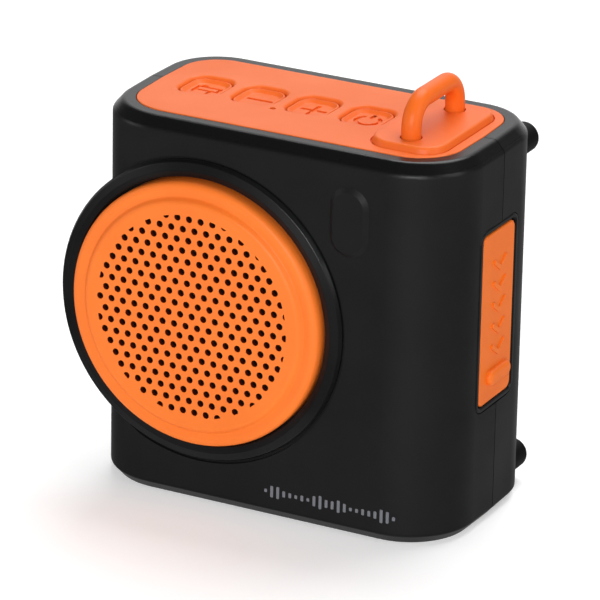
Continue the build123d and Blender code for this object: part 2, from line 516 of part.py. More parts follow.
LOOP_PLATE_T, LOOP_PLATE_W, LOOP_PLATE_R, LOOP_PLATE_HOLE_R = 1.0, 7.0, 2.0, 0.95
LOOP_SCREW_R, LOOP_SCREW_L, LOOP_HEAD_R, LOOP_HEAD_H = 0.8, 8.0, 1.6, 1.1
LOOP_PLATE_BOTTOM = DECK_BOTTOM - LOOP_PLATE_T
with BuildPart() as loop_plate:
    with BuildSketch(Plane.XY.offset(LOOP_PLATE_BOTTOM)):
        with Locations((PLATFORM_X, 0)):
            RectangleRounded(LOOP_PLATE_W, 2 * LOOP_HALF + LOOP_PLATE_W, LOOP_PLATE_R)
        with Locations(*LOOP_FEET):
            Circle(LOOP_PLATE_HOLE_R, mode=Mode.SUBTRACT)
    extrude(amount=LOOP_PLATE_T)
save(loop_plate.part, "loop_plate")

with BuildPart() as loop_screws:
    with BuildSketch(Plane.XY.offset(LOOP_PLATE_BOTTOM)):
        with Locations(*LOOP_FEET):
            Circle(LOOP_SCREW_R)
    extrude(amount=LOOP_SCREW_L)
    with BuildSketch(Plane.XY.offset(LOOP_PLATE_BOTTOM)):
        with Locations(*LOOP_FEET):
            Circle(LOOP_HEAD_R)
    extrude(amount=-LOOP_HEAD_H)
save(loop_screws.part, "loop_screws")


# ---------------------------------------------------------------- keys
SIGN_ROUND = 0.3
RING_STROKE, RING_GAP, RING_BAR = 0.85, 2.6, 3.2
RADIO_Y, RADIO_H, RADIO_WALL = 0.6, 2.6, 0.75
RADIO_FOOT_W, RADIO_FOOT_H, RADIO_FEET = 0.8, 1.8, [(-2.45, -0.8), (1.0, -1.2)]
AERIAL_X, AERIAL_Y, AERIAL_W, AERIAL_H = -1.4, 2.2, 1.4, 0.8


def sign_minus():
    """A short bar."""
    with BuildSketch() as sign:
        RectangleRounded(SIGN_SPAN, SIGN_STROKE, SIGN_ROUND)
    return sign.sketch


def sign_plus():
    """Two crossed bars."""
    with BuildSketch() as sign:
        RectangleRounded(SIGN_SPAN, SIGN_STROKE, SIGN_ROUND)
        RectangleRounded(SIGN_STROKE, SIGN_SPAN, SIGN_ROUND)
    return sign.sketch


def sign_power():
    """An open ring with a bar in its gap."""
    with BuildSketch() as sign:
        Circle(SIGN_SPAN / 2)
        Circle(SIGN_SPAN / 2 - RING_STROKE, mode=Mode.SUBTRACT)
        with Locations((0, SIGN_SPAN / 2)):
            Rectangle(RING_GAP, RING_GAP, mode=Mode.SUBTRACT)
            RectangleRounded(RING_STROKE, RING_BAR, SIGN_ROUND)
    return sign.sketch


def sign_mode():
    """A generic receiver: a long case with a foot at each end and a short aerial."""
    with BuildSketch() as sign:
        with Locations((0, RADIO_Y)):
            Rectangle(SIGN_SPAN, RADIO_H)
            Rectangle(SIGN_SPAN - 2 * RADIO_WALL, RADIO_H - 2 * RADIO_WALL, mode=Mode.SUBTRACT)
        with Locations(*RADIO_FEET):
            Rectangle(RADIO_FOOT_W, RADIO_FOOT_H)
        with Locations((AERIAL_X, AERIAL_Y)):
            Rectangle(AERIAL_W, AERIAL_H)
    return sign.sketch


def key_cap(x, sign):
    """A key cap with a sunk floor, its stem and an engraved sign."""
    floor = KEY_TOP - KEY_DISH
    with BuildPart() as dish:
        with BuildSketch(Plane.XY.offset(floor)):
            with Locations((x, KEY_Y)):
                RectangleRounded(KEY_FLOOR_W, KEY_FLOOR_L, KEY_FLOOR_R)
        extrude(amount=KEY_DISH, taper=-KEY_DISH_SLOPE)
        fillet(dish.faces().sort_by(Axis.Z)[0].edges(), KEY_DISH_ROUND)
    with BuildPart() as cap:
        with BuildSketch(Plane.XY.offset(KEY_BOTTOM)):
            with Locations((x, KEY_Y)):
                RectangleRounded(KEY_W, KEY_L, KEY_R)
        extrude(amount=KEY_TOP - KEY_BOTTOM)
        fillet(cap.faces().sort_by(Axis.Z)[-1].edges(), KEY_ROUND)
        add(dish.part, mode=Mode.SUBTRACT)
        with BuildSketch(Plane.XY.offset(floor)):
            with Locations((x, SIGN_Y)):
                add(sign)
        extrude(amount=-SIGN_DEPTH, mode=Mode.SUBTRACT)
        with BuildSketch(Plane.XY.offset(PLUNGER_TOP + FIT)):
            with Locations((x, KEY_Y)):
                Circle(STEM_R)
        extrude(amount=KEY_BOTTOM - PLUNGER_TOP)
    return cap.part


PLUNGER_SINK = 1.1
SIGNS = {"mode": sign_mode(), "minus": sign_minus(), "plus": sign_plus(), "power": sign_power()}
for x, (word, sign) in zip(KEY_XS, SIGNS.items()):
    save(key_cap(x, sign), f"key_{word}")
    with BuildPart() as plunger:
        with BuildSketch(Plane.XY.offset(SWITCH_TOP - PLUNGER_SINK)):
            with Locations((x, KEY_Y)):
                Circle(PLUNGER_R)
        extrude(amount=PLUNGER_TOP - SWITCH_TOP + PLUNGER_SINK)
    save(plunger.part, f"plunger_{word}")

SWITCH_W, SWITCH_R, SWITCH_ROOM, SWITCH_BORE = 6.0, 0.4, 0.08, 2.0
with BuildPart() as tact_switches:
    with BuildSketch(Plane.XY.offset(BUTTON_BOARD_TOP)):
        with Locations(*KEY_PLACES):
            RectangleRounded(SWITCH_W, SWITCH_W, SWITCH_R)
    extrude(amount=SWITCH_H)
    with BuildSketch(Plane.XY.offset(SWITCH_TOP)):
        with Locations(*KEY_PLACES):
            Circle(PLUNGER_R + SWITCH_ROOM)
    extrude(amount=-SWITCH_BORE, mode=Mode.SUBTRACT)
save(tact_switches.part, "tact_switches")

KEY_BOARD_X, KEY_BOARD_Y, KEY_BOARD_W, KEY_BOARD_L, KEY_BOARD_R = -6.1, 0.5, 48.0, 18.0, 1.5
KEY_BOARD_HOLE_R, DECK_SCREW_R, DECK_SCREW_BITE, DECK_HEAD_R, DECK_HEAD_H = 0.95, 0.75, 3.2, 1.5, 0.9
with BuildPart() as button_board:
    with BuildSketch(Plane.XY.offset(BUTTON_BOARD_TOP - BUTTON_BOARD_T)):
        with Locations((KEY_BOARD_X, KEY_BOARD_Y)):
            RectangleRounded(KEY_BOARD_W, KEY_BOARD_L, KEY_BOARD_R)
        with Locations(*DECK_POSTS):
            Circle(KEY_BOARD_HOLE_R, mode=Mode.SUBTRACT)
    extrude(amount=BUTTON_BOARD_T)
save(button_board.part, "button_board")

with BuildPart() as button_board_screws:
    with BuildSketch(Plane.XY.offset(BUTTON_BOARD_TOP - BUTTON_BOARD_T)):
        with Locations(*DECK_POSTS):
            Circle(DECK_SCREW_R)
    extrude(amount=BUTTON_BOARD_T + DECK_SCREW_BITE)
    with BuildSketch(Plane.XY.offset(BUTTON_BOARD_TOP - BUTTON_BOARD_T)):
        with Locations(*DECK_POSTS):
            Circle(DECK_HEAD_R)
    extrude(amount=-DECK_HEAD_H)
save(button_board_screws.part, "button_board_screws")

MIC_H, MIC_R, MIC_BOOT_R = 1.4, 1.6, 1.9
with BuildPart() as microphone:
    with BuildSketch(Plane.XY.offset(BUTTON_BOARD_TOP)):
        with Locations((MIC_X, MIC_Y)):
            Circle(MIC_R)
    extrude(amount=MIC_H)
save(microphone.part, "microphone")

with BuildPart() as microphone_boot:
    with BuildSketch(Plane.XY.offset(BUTTON_BOARD_TOP + MIC_H)):
        with Locations((MIC_X, MIC_Y)):
            Circle(MIC_BOOT_R)
            Circle(MIC_HOLE_R, mode=Mode.SUBTRACT)
    extrude(amount=DECK_BOTTOM - BUTTON_BOARD_TOP - MIC_H)
save(microphone_boot.part, "microphone_boot")

# ---------------------------------------------------------------- port frame and cover
FRAME_FLOOR_T, FRAME_FACE, FLANGE_X = 1.2, SIDE_X - 0.05, SIDE_X - 3.8
USB_Y, CARD_Y, AUX_Y = BOARD_Y - 1.65, BOARD_Y - 0.95, BOARD_Y - 2.5
FRAME_FLANGE_W, FRAME_FLANGE_T = 1.3, 1.3
USB_HOLE_W, USB_HOLE_H, USB_HOLE_R = 3.9, 9.6, 1.6
CARD_HOLE_W, CARD_HOLE_H, CARD_HOLE_R, AUX_HOLE_R = 2.2, 12.4, 0.4, 2.7

with BuildPart() as port_frame:
    add(port_slab(FRAME_W, FRAME_H, FRAME_R, POCKET_FLOOR - FRAME_FLOOR_T, FRAME_FACE))
    add(port_slab(FRAME_W + 2 * FRAME_FLANGE_W, FRAME_H + 2 * FRAME_FLANGE_W, FRAME_R + FRAME_FLANGE_W,
                  FLANGE_X, FLANGE_X + FRAME_FLANGE_T))
    add(port_slab(POCKET_W, POCKET_H, POCKET_R, POCKET_FLOOR, SIDE_X + PAST), mode=Mode.SUBTRACT)
    mouth = [e for e in port_frame.edges()
             if e.center().X > FRAME_FACE - TOUCH and abs(e.center().Y - PORT_Y) < POCKET_W / 2 + TOUCH
             and abs(e.center().Z - PORT_Z) < POCKET_H / 2 + TOUCH]
    chamfer(mouth, FRAME_CHAMFER)
    front_face = port_frame.faces().sort_by(Axis.X)[-1]
    fillet(front_face.outer_wire().edges(), EDGE_ROUND)
    with BuildSketch(facing_side(POCKET_FLOOR + PAST)):
        with Locations((USB_Y, USB_Z)):
            RectangleRounded(USB_HOLE_W, USB_HOLE_H, USB_HOLE_R)
        with Locations((CARD_Y, CARD_Z)):
            RectangleRounded(CARD_HOLE_W, CARD_HOLE_H, CARD_HOLE_R)
        with Locations((AUX_Y, AUX_Z)):
            Circle(AUX_HOLE_R)
    extrude(amount=-FRAME_FLOOR_T - 2 * PAST, mode=Mode.SUBTRACT)
    with BuildSketch(Plane.XZ.offset(-FRAME_W)):
        with Locations((HINGE_X, HINGE_Z)):
            Circle(PIN_R)
    extrude(amount=2 * FRAME_W, mode=Mode.SUBTRACT)
save(port_frame.part, "port_frame")

SIGNS_Y, RIDGE_Z, RIDGE_W, RIDGE_H, RIDGE_RISE, RIDGE_ROUND = 1.0, 30.9, 9.3, 3.1, 1.25, 0.9
CHEVRON_RISE, CHEVRON_STROKE, CHEVRON_BAR, CHEVRON_REACH, CHEVRON_TILT = 0.35, 0.95, 3.7, 1.3, 35
CHEVRON_FIRST_Z, CHEVRON_PITCH, CHEVRON_ROUND = 36.2, 4.4, 0.3
CHEVRON_ZS = [CHEVRON_FIRST_Z + CHEVRON_PITCH * number for number in range(5)]
FLAP_ROUND, KNUCKLE_R, PIN_ROOM, PIN_SHORT = 0.4, HINGE_R - 0.15, 0.06, 0.2
PLUGS = {"usb": (USB_Y, USB_Z, 2.6, 8.3, 1.2), "card": (CARD_Y, CARD_Z, 1.2, 10.6, 0.4),
         "aux": (AUX_Y, AUX_Z, 2.8, 2.8, 1.39)}
PLUG_L = FLAP_T + POCKET_FLOOR - FLAP_FACE - 0.6
FLAP_BOTTOM = FLAP_TOP - FLAP_H
FLAP_MID_Z = (FLAP_TOP + FLAP_BOTTOM) / 2

with BuildPart() as port_cover:
    with BuildSketch(facing_side(FLAP_FACE - FLAP_T)):
        with Locations((PORT_Y, FLAP_MID_Z)):
            RectangleRounded(FLAP_W, FLAP_H, FLAP_R)
    extrude(amount=FLAP_T)
    fillet(port_cover.faces().sort_by(Axis.X)[-1].edges(), FLAP_ROUND)
    with BuildSketch(Plane.XZ.offset(-PORT_Y - FLAP_W / 2 + FLAP_R)):
        with Locations((HINGE_X, HINGE_Z)):
            Circle(KNUCKLE_R)
    extrude(amount=FLAP_W - 2 * FLAP_R)
    with BuildSketch(facing_side(FLAP_FACE)):
        with Locations((SIGNS_Y, RIDGE_Z)):
            RectangleRounded(RIDGE_W, RIDGE_H, RIDGE_H / 2 - TOUCH)
    extrude(amount=RIDGE_RISE)
    fillet(port_cover.faces().sort_by(Axis.X)[-1].edges(), RIDGE_ROUND)
    with BuildSketch(facing_side(FLAP_FACE)):
        for side in (-1, 1):
            with Locations(*[Location((SIGNS_Y + side * CHEVRON_REACH, z, 0), (0, 0, side * CHEVRON_TILT))
                             for z in CHEVRON_ZS]):
                RectangleRounded(CHEVRON_BAR, CHEVRON_STROKE, CHEVRON_ROUND)
    extrude(amount=CHEVRON_RISE)
    for y, z, plug_w, plug_h, plug_r in PLUGS.values():
        with BuildSketch(facing_side(FLAP_FACE - FLAP_T)):
            with Locations((y, z)):
                RectangleRounded(plug_w, plug_h, plug_r)
        extrude(amount=PLUG_L)
    with BuildSketch(Plane.XZ.offset(-FRAME_W)):
        with Locations((HINGE_X, HINGE_Z)):
            Circle(PIN_R + PIN_ROOM)
    extrude(amount=2 * FRAME_W, mode=Mode.SUBTRACT)
save(port_cover.part, "port_cover")

with BuildPart() as port_cover_pin:
    with BuildSketch(Plane.XZ.offset(-PORT_Y - FRAME_W / 2 + PIN_SHORT)):
        with Locations((HINGE_X, HINGE_Z)):
            Circle(PIN_R)
    extrude(amount=FRAME_W - 2 * PIN_SHORT)
save(port_cover_pin.part, "port_cover_pin")

# ---------------------------------------------------------------- electronics
BOARD_ROUND, BOARD_HOLE_R, BOARD_HEAD_R, BOARD_HEAD_H = 1.2, 1.1, 1.8, 1.1
USB_W, USB_H, USB_R, USB_WALL, USB_L, USB_END = 3.2, 8.9, 1.4, 0.35, 7.5, BOARD_RIGHT - 7.3
USB_BACK_T, USB_TONGUE_T, USB_TONGUE_H, USB_TONGUE_L = 1.5, 0.7, 6.4, 6.3
CARD_L, CARD_T, CARD_LOW_H, CARD_HIGH_H, CARD_OUT = 14.6, 1.9, 5.0, 3.6, 0.2
AUX_L, AUX_D, AUX_H, AUX_NECK_R, AUX_NECK_OUT, AUX_END_T = 11.8, 5.0, 6.0, 2.4, 0.5, 1.0
MODULE_LOW, MODULE_HIGH, MODULE_T, MODULE_ROUND = (5.0, 50.0), (17.0, 64.0), 2.2, 0.6
CHIP_LOW, CHIP_W, CHIP_T = (11.5, 21.0), 5.0, 1.4
CAPACITORS, CAPACITOR_R, CAPACITOR_H, CAPACITOR_ROUND = [(6.5, 22.0), (6.5, 29.0)], 2.5, 5.4, 0.4
CELL_ROUND, FOAM_INSET_X, FOAM_INSET_Z = 2.5, 4.0, 3.0

with BuildPart() as main_board:
    add(block((BOARD_LEFT, BOARD_Y, BOARD_LOW), (BOARD_RIGHT, BOARD_Y + BOARD_T, BOARD_HIGH)))
    fillet(main_board.edges().filter_by(Axis.Y), BOARD_ROUND)
    add(rods(BOARD_POSTS, BOARD_HOLE_R, BOARD_Y - PAST, BOARD_Y + BOARD_T + PAST), mode=Mode.SUBTRACT)
save(main_board.part, "main_board")

with BuildPart() as main_board_screws:
    add(rods(BOARD_POSTS, BOARD_HEAD_R, BOARD_Y + BOARD_T, BOARD_Y + BOARD_T + BOARD_HEAD_H))
save(main_board_screws.part, "main_board_screws")

with BuildPart() as usb_port:
    with BuildSketch(facing_side(USB_END)):
        with Locations((USB_Y, USB_Z)):
            RectangleRounded(USB_W, USB_H, USB_R)
            RectangleRounded(USB_W - 2 * USB_WALL, USB_H - 2 * USB_WALL, USB_R - USB_WALL, mode=Mode.SUBTRACT)
    extrude(amount=USB_L)
    for start, length, thick, high in (
            (USB_END, USB_BACK_T, USB_W - USB_WALL, USB_H - 2 * USB_WALL),
            (USB_END + USB_BACK_T / 2, USB_TONGUE_L - USB_BACK_T / 2, USB_TONGUE_T, USB_TONGUE_H)):
        with BuildSketch(facing_side(start)):
            with Locations((USB_Y, USB_Z)):
                Rectangle(thick, high)
        extrude(amount=length)
save(usb_port.part, "usb_port")

with BuildPart() as card_slot:
    add(block((BOARD_RIGHT - CARD_L, BOARD_Y - CARD_T, CARD_Z - CARD_LOW_H),
              (BOARD_RIGHT + CARD_OUT, BOARD_Y, CARD_Z + CARD_HIGH_H)))
save(card_slot.part, "card_slot")

with BuildPart() as aux_jack:
    add(block((BOARD_RIGHT - AUX_L, BOARD_Y - AUX_D, AUX_Z - AUX_H / 2),
              (BOARD_RIGHT, BOARD_Y, AUX_Z + AUX_H / 2)))
    with BuildSketch(facing_side(BOARD_RIGHT - AUX_L)):
        with Locations((AUX_Y, AUX_Z)):
            Circle(AUX_NECK_R)
    extrude(amount=AUX_L + AUX_NECK_OUT)
    with BuildSketch(facing_side(BOARD_RIGHT - AUX_L + AUX_END_T)):
        with Locations((AUX_Y, AUX_Z)):
            Circle(AUX_BORE_R)
    extrude(amount=AUX_L + PAST, mode=Mode.SUBTRACT)
save(aux_jack.part, "aux_jack")

with BuildPart() as bluetooth_module:
    add(block((MODULE_LOW[0], BOARD_Y - MODULE_T, MODULE_LOW[1]), (MODULE_HIGH[0], BOARD_Y, MODULE_HIGH[1])))
    fillet(bluetooth_module.edges().filter_by(Axis.Y), MODULE_ROUND)
save(bluetooth_module.part, "bluetooth_module")

with BuildPart() as amplifier_chip:
    add(block((CHIP_LOW[0], BOARD_Y - CHIP_T, CHIP_LOW[1]),
              (CHIP_LOW[0] + CHIP_W, BOARD_Y, CHIP_LOW[1] + CHIP_W)))
save(amplifier_chip.part, "amplifier_chip")

with BuildPart() as capacitors:
    add(rods(CAPACITORS, CAPACITOR_R, BOARD_Y - CAPACITOR_H, BOARD_Y))
    fillet([e for e in capacitors.edges() if e.center().Y < BOARD_Y - CAPACITOR_H + TOUCH], CAPACITOR_ROUND)
save(capacitors.part, "capacitors")

with BuildPart() as battery_cell:
    add(block(BATTERY_LOW, BATTERY_HIGH))
    fillet(battery_cell.edges().filter_by(Axis.Z), CELL_ROUND)
save(battery_cell.part, "battery_cell")

with BuildPart() as battery_foam:
    add(block((BATTERY_LOW[0] + FOAM_INSET_X, BATTERY_HIGH[1], BATTERY_LOW[2] + FOAM_INSET_Z),
              (BATTERY_HIGH[0] - FOAM_INSET_X, BACK_Y - WALL, BATTERY_HIGH[2] - FOAM_INSET_Z)))
save(battery_foam.part, "battery_foam")

# ---------------------------------------------------------------- leads
LEAD_R, LEAD_BEND, LEAD_X = 0.55, 4.0, 11.2
SPEAKER_LEAD_Y, SPEAKER_LEAD_ZS = TERMINAL_BACK - BASKET_T / 2, (39.6, 42.0)
BATTERY_LEAD_X, BATTERY_LEAD_Y, BATTERY_LEAD_ZS = 27.5, 14.7, (47.0, 49.4)


def lead(start, corner, end):
    """A lead with one bend, as a round tube."""
    with BuildPart() as tube:
        with BuildLine() as route:
            FilletPolyline(start, corner, end, radius=LEAD_BEND)
        with BuildSketch(Plane(origin=start, z_dir=route.line % 0)):
            Circle(LEAD_R)
        sweep(path=route.line)
    return tube.part


with BuildPart() as speaker_leads:
    for z in SPEAKER_LEAD_ZS:
        add(lead((TERMINAL_X, SPEAKER_LEAD_Y, z), (LEAD_X, SPEAKER_LEAD_Y, z), (LEAD_X, BOARD_Y, z)))
save(speaker_leads.part, "speaker_leads")

with BuildPart() as battery_leads:
    for z in BATTERY_LEAD_ZS:
        add(lead((BATTERY_HIGH[0], BATTERY_LEAD_Y, z), (BATTERY_LEAD_X, BATTERY_LEAD_Y, z),
                 (BATTERY_LEAD_X, BOARD_Y + BOARD_T, z)))
save(battery_leads.part, "battery_leads")

# ---------------------------------------------------------------- screws and feet of the back
HEAD_R, HEAD_H, TIP_ROUND = 2.1, 1.6, 1.0
with BuildPart() as case_screws:
    add(rods(FEET, CASE_SCREW_R, CASE_SCREW_END, FOOT_SEAT_Y))
    add(rods(FEET, HEAD_R, FOOT_SEAT_Y, FOOT_SEAT_Y + HEAD_H))
save(case_screws.part, "case_screws")

with BuildPart() as rear_feet:
    add(rods(FEET, FOOT_R, FOOT_SEAT_Y + HEAD_H, FOOT_TIP_Y))
    fillet([e for e in rear_feet.edges() if e.center().Y > FOOT_TIP_Y - TOUCH], TIP_ROUND)
save(rear_feet.part, "rear_feet")
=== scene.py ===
"""Looks of the portable bluetooth speaker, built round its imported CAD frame.

Metres, in the CAD frame: X to the right, Y to the back, Z up, base of the case at z = 0.
"""
import bpy
import bmesh
from math import cos, pi, radians, sin
from mathutils import Matrix, Vector


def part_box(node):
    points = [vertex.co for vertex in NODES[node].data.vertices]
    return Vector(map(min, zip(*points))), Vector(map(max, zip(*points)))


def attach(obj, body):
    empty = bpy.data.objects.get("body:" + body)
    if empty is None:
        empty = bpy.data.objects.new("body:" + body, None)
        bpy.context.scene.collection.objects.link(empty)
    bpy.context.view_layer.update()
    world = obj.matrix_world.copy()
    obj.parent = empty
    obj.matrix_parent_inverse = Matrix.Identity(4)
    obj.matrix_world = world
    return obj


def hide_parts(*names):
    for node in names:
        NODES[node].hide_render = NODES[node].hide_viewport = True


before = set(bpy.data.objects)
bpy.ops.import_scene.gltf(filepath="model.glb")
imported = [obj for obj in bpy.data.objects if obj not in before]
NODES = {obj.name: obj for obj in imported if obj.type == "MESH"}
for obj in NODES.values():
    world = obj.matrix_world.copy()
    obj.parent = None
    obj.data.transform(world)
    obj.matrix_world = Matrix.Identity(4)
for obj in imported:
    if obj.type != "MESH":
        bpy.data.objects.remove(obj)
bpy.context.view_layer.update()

MM = 0.001
BASE_BEVEL_TOP, TOP_BEVEL_START, BEVEL_SOFT = 2.1 * MM, 76.5 * MM, 0.5 * MM
BEVEL_GLOSS = 0.27
GRILLE_FIELD_R, HOLE_EDGE, HOLE_LIP, HOLE_WALL = 21.4 * MM, 0.2 * MM, 0.06 * MM, 0.2 * MM

# ---------------------------------------------------------------- colours, linear
BLACK = (0.0065, 0.0065, 0.0068, 1)
BLACK_WORN = (0.0095, 0.0095, 0.0100, 1)
SOFT_BLACK = (0.004, 0.004, 0.0043, 1)
GLOSS_BLACK = (0.0035, 0.0035, 0.0037, 1)
PANEL_ORANGE, PANEL_DEEP = (0.88, 0.160, 0.020, 1), (0.84, 0.145, 0.016, 1)
LOOP_ORANGE, LOOP_DEEP = (0.88, 0.155, 0.014, 1), (0.84, 0.140, 0.011, 1)
GRILLE_ORANGE, GRILLE_DEEP = (0.90, 0.195, 0.023, 1), (0.86, 0.177, 0.020, 1)
COVER_ORANGE, COVER_DEEP = (0.80, 0.160, 0.012, 1), (0.77, 0.148, 0.010, 1)
PRINT_GREY = (0.16, 0.165, 0.185, 1)
STEEL = (0.52, 0.52, 0.54, 1)
BOARD_GREEN = (0.010, 0.085, 0.035, 1)
# painted shade for the walls inside the grille's holes
HOLE_SHADE = (0.10, 0.008, 0.002, 1)
COPPER_RED, FOIL = (0.75, 0.33, 0.13, 1), (0.6, 0.6, 0.62, 1)
FERRITE_GREY, FERRITE_DEEP = (0.03, 0.03, 0.032, 1), (0.02, 0.02, 0.022, 1)
PAPER_BLACK, PAPER_DEEP = (0.02, 0.02, 0.02, 1), (0.011, 0.011, 0.011, 1)
ROLL_BLACK, ROLL_DEEP = (0.012, 0.012, 0.012, 1), (0.008, 0.008, 0.008, 1)
FOAM_GREY, FOAM_DEEP = (0.03, 0.03, 0.03, 1), (0.012, 0.012, 0.012, 1)
WIRE_RED, WIRE_DEEP = (0.45, 0.012, 0.01, 1), (0.35, 0.01, 0.008, 1)
# the second colour of each weave is painted shade for the low parts between its threads
CLOTH_BLACK, CLOTH_WEAVE_SHADE = (0.006, 0.005, 0.005, 1), (0.002, 0.002, 0.002, 1)
COTTON, COTTON_WEAVE_SHADE = (0.5, 0.33, 0.1, 1), (0.3, 0.19, 0.05, 1)
FLOOR_WHITE, WHITE = (0.85, 0.85, 0.85, 1), (1, 1, 1, 1)
ROOM_DIM = 0.10              # the studio away from its light surfaces


# ---------------------------------------------------------------- materials
def new_material(name):
    """An empty node material: (material, tree, shader)."""
    material = bpy.data.materials.new(name)
    material.use_nodes = True
    tree = material.node_tree
    return material, tree, tree.nodes["Principled BSDF"]


def position(tree, scale=(1, 1, 1)):
    """The object-space position, scaled per axis."""
    place = tree.nodes.new("ShaderNodeTexCoord")
    mapping = tree.nodes.new("ShaderNodeMapping")
    mapping.inputs["Scale"].default_value = scale
    tree.links.new(place.outputs["Object"], mapping.inputs["Vector"])
    return mapping.outputs["Vector"]


def noise(tree, vector, scale, detail=3.0, rough=0.55):
    """A noise value at a given number of features per metre."""
    node = tree.nodes.new("ShaderNodeTexNoise")
    node.inputs["Scale"].default_value = scale
    node.inputs["Detail"].default_value = detail
    node.inputs["Roughness"].default_value = rough
    tree.links.new(vector, node.inputs["Vector"])
    return node.outputs["Fac"]


NOISE_LOW, NOISE_HIGH = 0.3, 0.7     # where most of a noise value lies


def ramp(tree, value, low, high, start=0.35, end=0.65):
    """Two colours mixed by a value, from start to end."""
    node = tree.nodes.new("ShaderNodeValToRGB")
    stops = node.color_ramp.elements
    stops[0].position, stops[0].color = start, low
    stops[1].position, stops[1].color = end, high
    tree.links.new(value, node.inputs["Fac"])
    return node.outputs["Color"]


def spread(tree, value, low, high):
    """A noise value moved to low..high."""
    node = tree.nodes.new("ShaderNodeMapRange")
    node.inputs["From Min"].default_value = NOISE_LOW
    node.inputs["From Max"].default_value = NOISE_HIGH
    node.inputs["To Min"].default_value = low
    node.inputs["To Max"].default_value = high
    tree.links.new(value, node.inputs["Value"])
    return node.outputs["Result"]


def bump(tree, height, depth, strength=1.0, under=None):
    """A bump of a given depth in metres, laid over another."""
    node = tree.nodes.new("ShaderNodeBump")
    node.inputs["Strength"].default_value = strength
    node.inputs["Distance"].default_value = depth
    tree.links.new(height, node.inputs["Height"])
    if under:
        tree.links.new(under, node.inputs["Normal"])
    return node.outputs["Normal"]


CLOUD_SCALE, SWELL_SCALE, SWELL_DEPTH, SWELL_STRENGTH = 55, 140, 1.6, 0.5


def moulded(name, colour, shade, gloss, grain=0.00018, depth=0.000012, specular=0.5):
    """Moulded plastic or rubber: mottled colour, uneven gloss and a fine spark-eroded grain."""
    material, tree, shader = new_material(name)
    where = position(tree)
    cloud = noise(tree, where, CLOUD_SCALE, 4)
    fine = noise(tree, where, 1 / grain, 2, 0.6)
    tree.links.new(ramp(tree, cloud, shade, colour), shader.inputs["Base Color"])
    tree.links.new(spread(tree, cloud, gloss[1], gloss[0]), shader.inputs["Roughness"])
    swell = bump(tree, noise(tree, where, SWELL_SCALE, 2), depth * SWELL_DEPTH, SWELL_STRENGTH)
    tree.links.new(bump(tree, fine, depth, 1.0, swell), shader.inputs["Normal"])
    shader.inputs["Specular IOR Level"].default_value = specular
    return material


def tinted(tree, painted, colour, mask):
    """A colour that turns into another one where the mask is 1."""
    tint = tree.nodes.new("ShaderNodeMix")
    tint.data_type = "RGBA"
    tint.inputs["B"].default_value = colour
    tree.links.new(mask, tint.inputs["Factor"])
    tree.links.new(painted, tint.inputs["A"])
    return tint.outputs["Result"]


def step(tree, value, start, end):
    """0 before start and 1 after end."""
    mask = tree.nodes.new("ShaderNodeMapRange")
    mask.inputs["From Min"].default_value = start
    mask.inputs["From Max"].default_value = end
    tree.links.new(value, mask.inputs["Value"])
    return mask.outputs["Result"]


def polished_bevels(material, low, high, gloss, colour):
    """Make the case's top and base bevels, above high and below low, glossier than its faces."""
    tree = material.node_tree
    shader = tree.nodes["Principled BSDF"]
    matt = shader.inputs["Roughness"].links[0].from_socket
    painted = shader.inputs["Base Color"].links[0].from_socket
    place = tree.nodes.new("ShaderNodeTexCoord")
    axes = tree.nodes.new("ShaderNodeSeparateXYZ")
    tree.links.new(place.outputs["Object"], axes.inputs["Vector"])
    for edge, soft in ((high, BEVEL_SOFT), (low, -BEVEL_SOFT)):
        mask = step(tree, axes.outputs["Z"], edge - soft, edge + soft)
        blend = tree.nodes.new("ShaderNodeMix")
        blend.inputs["B"].default_value = gloss
        tree.links.new(mask, blend.inputs["Factor"])
        tree.links.new(matt, blend.inputs["A"])
        matt = blend.outputs["Result"]
        painted = tinted(tree, painted, colour, mask)
    tree.links.new(matt, shader.inputs["Roughness"])
    tree.links.new(painted, shader.inputs["Base Color"])


def shade_hole_walls(material, centre, field_r, face_y, colour):
    """Paint shade on the walls of the grille's holes, behind its painted face: a painted shadow for the
    shade inside the holes.
    """
    tree = material.node_tree
    shader = tree.nodes["Principled BSDF"]
    painted = shader.inputs["Base Color"].links[0].from_socket
    place = tree.nodes.new("ShaderNodeTexCoord")
    offset = tree.nodes.new("ShaderNodeVectorMath")
    offset.operation = "SUBTRACT"
    offset.inputs[1].default_value = centre
    tree.links.new(place.outputs["Object"], offset.inputs[0])
    flat = tree.nodes.new("ShaderNodeVectorMath")
    flat.operation = "MULTIPLY"
    flat.inputs[1].default_value = (1, 0, 1)
    tree.links.new(offset.outputs["Vector"], flat.inputs[0])
    radius = tree.nodes.new("ShaderNodeVectorMath")
    radius.operation = "LENGTH"
    tree.links.new(flat.outputs["Vector"], radius.inputs[0])
    axes = tree.nodes.new("ShaderNodeSeparateXYZ")
    tree.links.new(place.outputs["Object"], axes.inputs["Vector"])
    both = tree.nodes.new("ShaderNodeMath")
    both.operation = "MULTIPLY"
    in_field = step(tree, radius.outputs["Value"], field_r + HOLE_EDGE, field_r)
    behind_face = step(tree, axes.outputs["Y"], face_y + HOLE_LIP, face_y + HOLE_WALL)
    tree.links.new(in_field, both.inputs[0])
    tree.links.new(behind_face, both.inputs[1])
    tree.links.new(tinted(tree, painted, colour, both.outputs["Value"]), shader.inputs["Base Color"])


DULLED, SCRATCH_DEPTH = 0.82, 0.000006


def metal(name, colour, gloss, stretch=(1, 1, 1), grain=900):
    """Plated or brushed metal with fine scratches along one axis."""
    material, tree, shader = new_material(name)
    where = position(tree, stretch)
    lines = noise(tree, where, grain, 3, 0.6)
    dull = tuple(DULLED * part for part in colour[:3]) + (1,)
    tree.links.new(ramp(tree, lines, dull, colour), shader.inputs["Base Color"])
    tree.links.new(spread(tree, lines, gloss[0], gloss[1]), shader.inputs["Roughness"])
    tree.links.new(bump(tree, lines, SCRATCH_DEPTH), shader.inputs["Normal"])
    shader.inputs["Metallic"].default_value = 1.0
    return material


WAVE_TURN = 6.28


